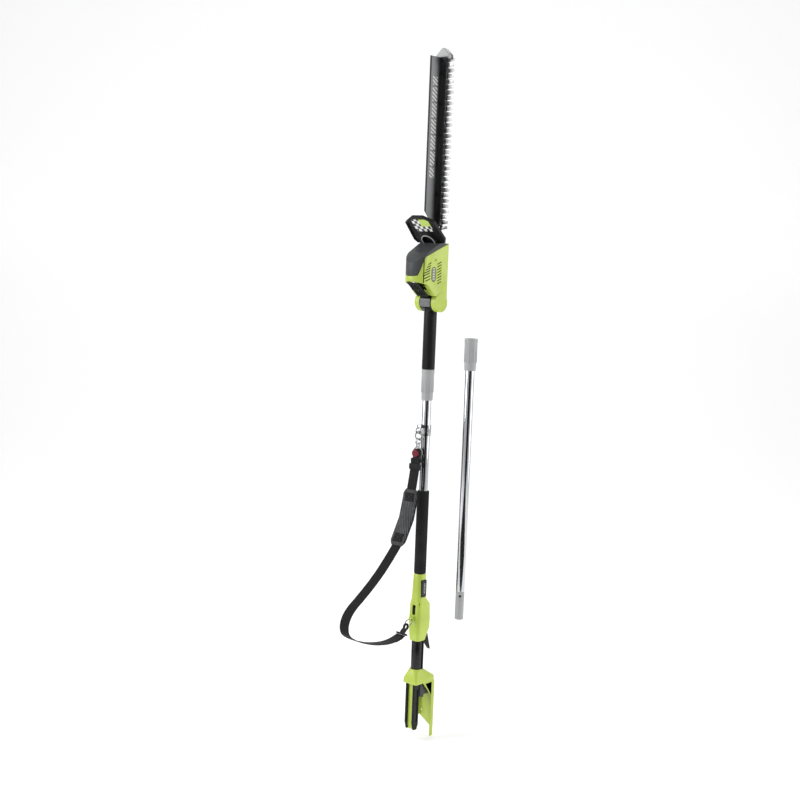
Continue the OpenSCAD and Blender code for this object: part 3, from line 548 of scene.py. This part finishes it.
def rimmed_badge():
    """Grey green capsule with a dark raised rim, drawn from the distance to the capsule's middle line."""
    s = Surface("badge", (0.20, 0.24, 0.14), 0.42)
    x, y, z = s.axes(s.place())
    end = ((z - BADGE_Z).size() - BADGE_STRAIGHT / 2).math("MAXIMUM", 0.0)
    side = y + BADGE_T
    reach = (side * side + end * end).math("SQRT")
    rim = reach.above(0.0078)
    marks = ((z / 0.007).part().above(0.5)) * side.size().math("LESS_THAN", 0.0035) * (1 - rim)
    shade = s.mix(s.noise(60, 4), (0.17, 0.20, 0.115), (0.24, 0.28, 0.17))
    shade = s.mix(marks, shade, (0.55, 0.58, 0.48))
    shade = s.mix(rim, shade, (0.05, 0.055, 0.045))
    return s.paint(shade, 0.38 + s.noise(2600, 2) * 0.1, height=rim + s.noise(2600, 2) * 0.1, depth=0.0004,
                   strength=0.7)


def framed_badge():
    """Black badge with two columns of plain light marks in place of lettering."""
    s = Surface("handle_badge", (0.01, 0.01, 0.011), 0.3, Specular_IOR_Level=0.3)
    x, y, z = s.axes(s.place())
    row = (z / 0.0042).part().above(0.55)
    column = (y - 0.002).size().math("LESS_THAN", 0.0035)
    run = z.above(-0.370) * z.math("LESS_THAN", -0.338)
    fine = s.noise(2200, 2)
    marks = row * column * run * s.noise(700, 2).above(0.40)
    return s.paint(s.mix(marks, (0.008, 0.008, 0.0085), (0.55, 0.56, 0.56)), 0.28 + fine * 0.12,
                   height=fine, depth=0.00005, strength=0.5)


FINISH["deflector_metal"] = deflector_paint_and_shade()
chrome = ground_steel("chrome", (0.42, 0.425, 0.43), 0.16, (1, 1, 1), 500)
CHROMED = ("hanger_clamp", "hanger_ring", "strap_hook", "strap_hook_gate", "handle_ring")
OWN_FINISH = {
    "rear_grille": FINISH["black_plastic"],
    "tilt_button": moulding("button_grey", (0.17, 0.175, 0.18), 0.38, drift=0.05),
    "side_badges": rimmed_badge(), "handle_badge": framed_badge(),
    **dict.fromkeys(CHROMED, chrome),
    "blade_bolts": ground_steel("dark_bolts", (0.06, 0.06, 0.062), 0.38, (1, 1, 1), 500),
}
FINISH["label"] = check_film()
for slot, material in FINISH.items():
    material.use_fake_user = True
print("finishes:", sorted(FINISH))

# %% [markdown]
# The CAD solids have razor edges, and no real moulding or machined part has. For each hard part a copy of
# its mesh is merged, its flat areas are cleaned into single faces, and every crisp edge gets a small round.
# The copy then stands for the CAD node. The CAD mesh itself is never changed.

# %% rounded copies of the hard parts
def dress(obj, node, material=None):
    """Gives a finished piece its body and its material: the finish of the node's slot unless another is
    given.
    """
    slot_name = slot_of_node[node]
    obj.data.materials.clear()
    obj.data.materials.append(material or FINISH[slot_name])
    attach(obj, body_of_node[node])
    return obj


def merged_copy(node, name):
    source = nodes[node]
    mesh = source.data.copy()
    copy = bpy.data.objects.new(name, mesh)
    bpy.context.scene.collection.objects.link(copy)
    in_edit_mode(copy)
    bpy.ops.mesh.remove_doubles(threshold=0.00002)
    bpy.ops.mesh.dissolve_limited(angle_limit=math.radians(0.6))
    out_of_edit_mode()
    return copy


def rounded(node, width_mm, segments=2, angle=32, material=None):
    copy = merged_copy(node, node + "_rounded")
    bevel = copy.modifiers.new("edges", "BEVEL")
    bevel.width = width_mm / 1000
    bevel.segments = segments
    bevel.limit_method = "ANGLE"
    bevel.angle_limit = math.radians(angle)
    bevel.miter_outer = "MITER_ARC"
    bevel.use_clamp_overlap = True
    apply_all(copy)
    pick(copy)
    bpy.ops.object.shade_smooth_by_angle(angle=math.radians(28))
    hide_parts(node)
    return dress(copy, node, material)


EDGE_MM = {
    "handle_shell_left": 1.6, "handle_shell_right": 1.6, "shroud_cap": 1.6, "shroud_guard_wall": 0.9,
    "guide_post": 1.2, "guide_spine": 1.0, "terminal_block": 1.0, "battery_lead": 1.2, "rear_tube": 0.6,
    "handle_badge": 0.5, "trigger": 1.2, "lock_off_button": 0.7, "hanger_clamp": 1.2,
    "quick_release": 1.6, "release_button": 1.2, "strap_adjuster": 1.2, "lower_hook": 1.0,
    "strap_hook": 0.8, "strap_hook_gate": 0.6, "coupling_collar": 0.5, "extension_collar": 0.5,
    "socket_insert": 0.5, "extension_socket": 0.5, "upper_spigot": 0.5, "extension_spigot": 1.0,
    "upper_tube": 0.8, "knuckle": 1.2, "tilt_button": 0.6, "head_shell_left": 1.3, "head_shell_right": 1.3,
    "motor_cover": 2.2, "rear_grille": 0.8, "front_guard": 1.4, "side_badges": 0.4, "gear_plate": 0.4,
    "blade_bar": 0.4, "upper_blade": 0.35, "lower_blade": 0.35, "deflector": 0.5, "tip_guard": 1.6,
    "blade_bolts": 0.7, "pole_tube": 0.3, "extension_tube": 0.3, "hanger_ring": 0.1, "handle_ring": 0.1,
    "hanger_bolt": 0.5, "handle_screws": 0.3, "head_screws": 0.4, "pivot_pin": 0.5,
}
for node, width in EDGE_MM.items():
    rounded(node, width, material=OWN_FINISH.get(node))
for node, obj in nodes.items():
    if not obj.hide_render:
        obj.data.materials.clear()
        obj.data.materials.append(FINISH[slot_of_node[node]])
print("rounded:", len(EDGE_MM), "parts")

# %% [markdown]
# Soft strips are easiest to make flat and then lay along their route. The route is a list of points in the
# strap's own plane, [towards the top of the tool, along the pole], joined by a smooth curve. A flat piece's
# X becomes distance along that curve, its Y stays across the strap and its Z becomes height off it. The two
# webbing routes end a little way inside the pad, so that no gap shows where they are sewn to it.

# %% strap route
UPPER_ROUTE = [(38, 17), (38, 7.3), (39.5, -4), (44, -30), (50, -62), (51.5, -71)]
PAD_ROUTE = [(51, -66), (55, -95), (62, -130), (75, -163), (99, -205), (106, -217)]
LOWER_ROUTE = [
    (102, -211), (108, -221), (138, -253), (170, -284), (208, -315), (247, -343), (276, -363), (294, -382),
    (303, -404), (301, -424), (292, -436), (277, -446), (255, -457), (232, -466), (193, -478),
    (147, -486), (120, -487), (103, -485.5), (87, -482.5), (71, -478),
]


def smooth_line(points, steps=14):
    """Catmull-Rom curve through the points, in metres."""
    p = [Vector(q) / 1000 for q in points]
    p = [2 * p[0] - p[1]] + p + [2 * p[-1] - p[-2]]
    line = []
    for i in range(1, len(p) - 2):
        for k in range(steps):
            u = k / steps
            line.append(0.5 * (2 * p[i] + (p[i + 1] - p[i - 1]) * u
                               + (2 * p[i - 1] - 5 * p[i] + 4 * p[i + 1] - p[i + 2]) * u * u
                               + (3 * p[i] - p[i - 1] - 3 * p[i + 1] + p[i + 2]) * u ** 3))
    return line + [p[-2]]


def line_length(line):
    return sum((b - a).length for a, b in zip(line, line[1:]))


def lay_along(obj, line):
    """Bends a flat piece along the route."""
    runs = [0.0]
    for a, b in zip(line, line[1:]):
        runs.append(runs[-1] + (b - a).length)
    for vertex in obj.data.vertices:
        x, y, z = vertex.co
        far = min(max(x, 0.0), runs[-1])
        i = max(k for k in range(len(runs) - 1) if runs[k] <= far or k == 0)
        share = (x - runs[i]) / (runs[i + 1] - runs[i])
        step = line[i + 1] - line[i]
        at = line[i].lerp(line[i + 1], share) if 0 <= share <= 1 else line[i] + step * share
        before = line[max(i - 1, 0)]
        after = line[min(i + 2, len(line) - 1)]
        d = (after - before).normalized()
        side = Vector((-d.y, d.x))
        spot = at + side * z
        vertex.co = (y, -spot.x, spot.y)
    return obj


upper_line = smooth_line(UPPER_ROUTE)
pad_line = smooth_line(PAD_ROUTE)
lower_line = smooth_line(LOWER_ROUTE)
strap_len = sum(line_length(line) for line in (upper_line, pad_line, lower_line))
print("strap shown:", round(strap_len, 3), "m")

# %% [markdown]
# The webbing starts as a flat grid of the strap's length and width. Its UV map is stretched to metres
# before the bend, and a Solidify modifier gives it its thickness.

# %% webbing
WEB_WIDTH = 0.032


def flat_grid(name, length, width, cell=0.006, x0=0.0, y0=0.0):
    bpy.ops.object.select_all(action="DESELECT")
    bpy.ops.mesh.primitive_grid_add(x_subdivisions=max(2, int(length / cell)),
                                    y_subdivisions=max(2, int(width / cell)), size=1)
    grid = bpy.context.object
    grid.name = name
    grid.scale = (length, width, 1)
    grid.location = (x0 + length / 2, y0, 0)
    settle(grid)
    uv = grid.data.uv_layers[0]
    uv.name = "metres"
    for loop in grid.data.loops:
        x, y, _ = grid.data.vertices[loop.vertex_index].co
        uv.data[loop.index].uv = (x, y + width / 2)
    return grid


def thicken(obj, thickness, offset=0.0, bevel=0.0004):
    solid = obj.modifiers.new("thickness", "SOLIDIFY")
    solid.thickness = thickness
    solid.offset = offset
    edge = obj.modifiers.new("edge", "BEVEL")
    edge.width = bevel
    edge.segments = 2
    edge.limit_method = "ANGLE"
    edge.angle_limit = math.radians(50)
    apply_all(obj)
    pick(obj)
    bpy.ops.object.shade_smooth_by_angle(angle=math.radians(35))
    return obj


def webbing_run(name, node, line):
    run = flat_grid(name, line_length(line), WEB_WIDTH)
    lay_along(run, line)
    thicken(run, 0.0021)
    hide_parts(node)
    return dress(run, node)


webbing_run("webbing_upper", "strap_upper", upper_line)
webbing_run("webbing_lower", "strap_lower", lower_line)

# %% [markdown]
# Where a strap passes through a buckle it is folded back and sewn. The fold is a short second layer on the
# outside, and the seam is a box of stitches with a cross in it. Each stitch is one bent capsule of thread,
# modelled once and copied.

# %% sewn folds
def stitch_mesh():
    bpy.ops.object.select_all(action="DESELECT")
    bpy.ops.mesh.primitive_uv_sphere_add(segments=8, ring_count=6, radius=0.5)
    stitch = bpy.context.object
    stitch.scale = (0.0028, 0.0007, 0.0006)
    settle(stitch)
    return stitch


def sew(name, line, paths, node, height=0.0016):
    """Rows of stitches along flat [x, y] paths, laid on the strap."""
    model = stitch_mesh()
    made = []
    for a, b in paths:
        a, b = Vector(a), Vector(b)
        count = max(2, round((b - a).length / 0.0038))
        angle = math.atan2((b - a).y, (b - a).x)
        for k in range(count):
            spot = a.lerp(b, (k + 0.5) / count)
            copy = model.copy()
            copy.data = model.data.copy()
            bpy.context.scene.collection.objects.link(copy)
            copy.rotation_euler.z = angle
            copy.location = (spot.x, spot.y, height)
            made.append(copy)
    bpy.data.objects.remove(model)
    pick(*made)
    bpy.ops.object.join()
    seam = bpy.context.object
    settle(seam)
    lay_along(seam, line)
    seam.name = name
    pick(seam)
    bpy.ops.object.shade_smooth()
    return dress(seam, node, thread)


def box_seam(x0, x1, half):
    corners = [(x0, -half), (x1, -half), (x1, half), (x0, half)]
    sides = list(zip(corners, corners[1:] + corners[:1]))
    return sides + [(corners[0], corners[2]), (corners[1], corners[3])]


def fold(name, line, x0, x1, node):
    layer = flat_grid(name, x1 - x0, WEB_WIDTH - 0.001, x0=x0)
    for vertex in layer.data.vertices:
        vertex.co.z = 0.0019
    lay_along(layer, line)
    thicken(layer, 0.0016)
    return dress(layer, node)


def thread_material():
    s = Surface("thread", (0.05, 0.05, 0.052), 0.5, Sheen_Weight=0.3)
    twist = s.noise(5000, 2, stretch=(1, 1, 3))
    return s.paint(s.mix(twist, (0.02, 0.02, 0.021), (0.06, 0.06, 0.063)), 0.45 + twist * 0.2,
                   height=twist, depth=0.0001, strength=0.5)


thread = thread_material()
upper_len, lower_len = line_length(upper_line), line_length(lower_line)
SEAM_HALF = 0.013
SEAM_HEIGHT = 0.0030
fold("fold_at_release", upper_line, 0.001, 0.026, "strap_upper")
sew("seam_at_release", upper_line, box_seam(0.006, 0.022, SEAM_HALF), "strap_upper", SEAM_HEIGHT)
fold("fold_at_hook", lower_line, lower_len - 0.038, lower_len - 0.008, "strap_lower")
sew("seam_at_hook", lower_line, box_seam(lower_len - 0.034, lower_len - 0.014, SEAM_HALF), "strap_lower",
    SEAM_HEIGHT)
print("webbing:", round(upper_len, 3), "m above the pad and", round(lower_len, 3), "m below it")

# %% [markdown]
# The shoulder pad is foam inside a spacer mesh cover. It starts as a thin closed slab and is blown up: its
# half thickness follows a crown that is full in the middle and pulls in at the sides and ends. Then it is
# laid along its route like the webbing, with a bound edge, rows of stitching and an end tab on each end.

# %% shoulder pad
PAD_WIDTH = 0.050
PAD_HALF = 0.0052
PAD_ROW = 0.0175
pad_len = line_length(pad_line)


def crown(x, y):
    """1 in the middle of the pad, falling to a thin bound edge."""
    across_part = 1 - min(1.0, abs(y) / (PAD_WIDTH / 2)) ** 4
    along_part = 1 - min(1.0, abs(x - pad_len / 2) / (pad_len / 2)) ** 10
    return 0.26 + 0.74 * math.sqrt(max(0.0, across_part * along_part))


def round_ends(obj):
    """Pulls the corners of a flat piece in, so that both ends are rounded."""
    corner = 0.016
    for vertex in obj.data.vertices:
        x, y, _ = vertex.co
        near = min(x, pad_len - x)
        if near < corner:
            squeeze = 1 - 0.30 * (1 - near / corner) ** 2
            vertex.co.y = y * squeeze
    return obj


def shoulder_pad():
    pad = flat_grid("shoulder_pad", pad_len, PAD_WIDTH, cell=0.003)
    pick(pad)
    solid = pad.modifiers.new("thickness", "SOLIDIFY")
    solid.thickness = 0.002
    solid.offset = 0.0
    apply_all(pad)
    for vertex in pad.data.vertices:
        x, y, z = vertex.co
        ripple = 1 + 0.035 * math.sin(x * 95) * math.cos(y * 70)
        channel = 1 - 0.16 * math.exp(-((abs(y) - PAD_ROW) / 0.0012) ** 2)
        vertex.co.z = math.copysign(PAD_HALF, z) * crown(x, y) * ripple * channel
    round_ends(pad)
    lay_along(pad, pad_line)
    pick(pad)
    bpy.ops.object.shade_smooth()
    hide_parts("strap_pad")
    dress(pad, "strap_pad")
    return pad


def bound_edge():
    """A rounded binding sewn round the rim of the pad."""
    half = PAD_WIDTH / 2
    rim = []
    for k in range(64):
        angle = 2 * math.pi * k / 64
        c, d = math.cos(angle), math.sin(angle)
        x = pad_len / 2 * (1 + math.copysign(abs(c) ** 0.16, c))
        y = half * math.copysign(abs(d) ** 0.22, d)
        rim.append((min(max(x, 0.0), pad_len), y))
    bpy.ops.object.select_all(action="DESELECT")
    bpy.ops.curve.primitive_nurbs_path_add()
    path = bpy.context.object
    path.name = "pad_binding"
    path.data.splines.clear()
    spline = path.data.splines.new("POLY")
    spline.points.add(len(rim) - 1)
    for point, (x, y) in zip(spline.points, rim):
        point.co = (x, y, 0, 1)
    spline.use_cyclic_u = True
    path.data.dimensions = "3D"
    path.data.bevel_depth = 0.0019
    path.data.bevel_resolution = 3
    pick(path)
    bpy.ops.object.convert(target="MESH")
    binding = bpy.context.object
    round_ends(binding)
    lay_along(binding, pad_line)
    pick(binding)
    bpy.ops.object.shade_smooth()
    return dress(binding, "strap_pad", FINISH["foam"])


def pad_patch(name, x0, x1, width, height, material):
    patch = flat_grid(name, x1 - x0, width, cell=0.004, x0=x0)
    for vertex in patch.data.vertices:
        vertex.co.z = PAD_HALF * crown(vertex.co.x, vertex.co.y) + height
    lay_along(patch, pad_line)
    thicken(patch, 0.0012)
    return dress(patch, "strap_pad", material)


shoulder_pad()
bound_edge()
for name, x0, x1 in [("top", 0.010, 0.034), ("foot", pad_len - 0.034, pad_len - 0.010)]:
    pad_patch("pad_tab_" + name, x0, x1, WEB_WIDTH, 0.0006, FINISH["webbing"])
    sew("pad_tab_seam_" + name, pad_line, box_seam(x0 + 0.004, x1 - 0.004, 0.012), "strap_pad",
        PAD_HALF + 0.0014)
for side in (-1, 1):
    sew("pad_row_" + ("left" if side < 0 else "right"), pad_line,
        [((0.008, side * PAD_ROW), (pad_len - 0.008, side * PAD_ROW))], "strap_pad", PAD_HALF * 0.82)
print("pad:", round(pad_len, 3), "m long")

# %% [markdown]
# The foam grip is a sleeve squeezed on the pole. It is a cylinder with a few rings along it, so that it can
# bulge by a hair between the places where hands press it, and with softly rounded ends.

# %% foam grip
def foam_grip():
    low = min(v.co.z for v in nodes["foam_grip"].data.vertices)
    high = max(v.co.z for v in nodes["foam_grip"].data.vertices)
    radius = max(v.co.x for v in nodes["foam_grip"].data.vertices)
    bpy.ops.object.select_all(action="DESELECT")
    bpy.ops.mesh.primitive_cylinder_add(vertices=72, radius=radius, depth=high - low,
                                        location=(0, 0, (high + low) / 2))
    grip = bpy.context.object
    grip.name = "foam_sleeve"
    settle(grip)
    edge = grip.modifiers.new("ends", "BEVEL")
    edge.width = 0.0038
    edge.segments = 5
    edge.limit_method = "ANGLE"
    edge.angle_limit = math.radians(50)
    apply_all(grip)
    in_edit_mode(grip)
    bpy.ops.mesh.select_all(action="DESELECT")
    out_of_edit_mode()
    wall = (high - low) / 4
    for edge_line in grip.data.edges:
        a, b = (grip.data.vertices[i].co for i in edge_line.vertices)
        edge_line.select = abs(a.z - b.z) > wall
    in_edit_mode_selected(grip)
    bpy.ops.mesh.subdivide(number_cuts=30)
    out_of_edit_mode()
    for vertex in grip.data.vertices:
        along = (vertex.co.z - low) / (high - low)
        angle = math.atan2(vertex.co.y, vertex.co.x)
        swell = 1 - 0.006 * (1 - math.sin(along * math.pi * 5 + 0.4 * math.sin(angle * 2))) / 2
        vertex.co.x *= swell
        vertex.co.y *= swell
    pick(grip)
    bpy.ops.object.shade_smooth_by_angle(angle=math.radians(50))
    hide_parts("foam_grip")
    dress(grip, "foam_grip")
    return grip


foam_grip()
print("foam sleeve made")

# %% [markdown]
# The front guard has its own tilted frame. The label film, the pale ring round its eye and anything else on
# its face are made flat and moved there with one matrix.

# %% guard details
GUARD = Matrix.Translation((0, 0.010, PIVOT_Z + 0.153)) @ Matrix.Rotation(math.radians(135), 4, "X")
GUARD_FACE = 0.004
BAFFLE_X = 0.0318


def label_film():
    film = flat_grid("label_film", 0.0434, 0.0594, cell=0.003)
    for vertex in film.data.vertices:
        x, y, _ = vertex.co
        vertex.co = GUARD @ Vector((y, 0.0593 + x, GUARD_FACE))
    thicken(film, 0.0003, offset=1.0, bevel=0.0001)
    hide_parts("guard_label")
    return dress(film, "guard_label")


def eye_ring():
    bpy.ops.object.select_all(action="DESELECT")
    bpy.ops.mesh.primitive_torus_add(major_segments=96, minor_segments=14, major_radius=0.0205,
                                     minor_radius=0.0017)
    ring = bpy.context.object
    ring.name = "guard_eye_ring"
    ring.matrix_world = GUARD @ Matrix.Translation((0, 0.031, GUARD_FACE + 0.009))
    settle(ring)
    pick(ring)
    bpy.ops.object.shade_smooth()
    dress(ring, "front_guard", FINISH["grey_plastic"])
    return ring


def vent_baffle(name, x):
    """A dark plate inside the shell, so that light never shows through both sets of vents."""
    bpy.ops.object.select_all(action="DESELECT")
    bpy.ops.mesh.primitive_cube_add(size=1, location=(x, -0.036, PIVOT_Z + 0.086))
    plate = bpy.context.object
    plate.name = name
    plate.scale = (0.0012, 0.076, 0.066)
    settle(plate)
    dress(plate, "rear_grille", FINISH["black_plastic"])
    return plate


label_film()
eye_ring()
vent_baffle("baffle_left", -BAFFLE_X)
vent_baffle("baffle_right", BAFFLE_X)
print("guard details made")

# %% finish
print("cad box", [[round(v, 3) for v in c] for c in cad_box])
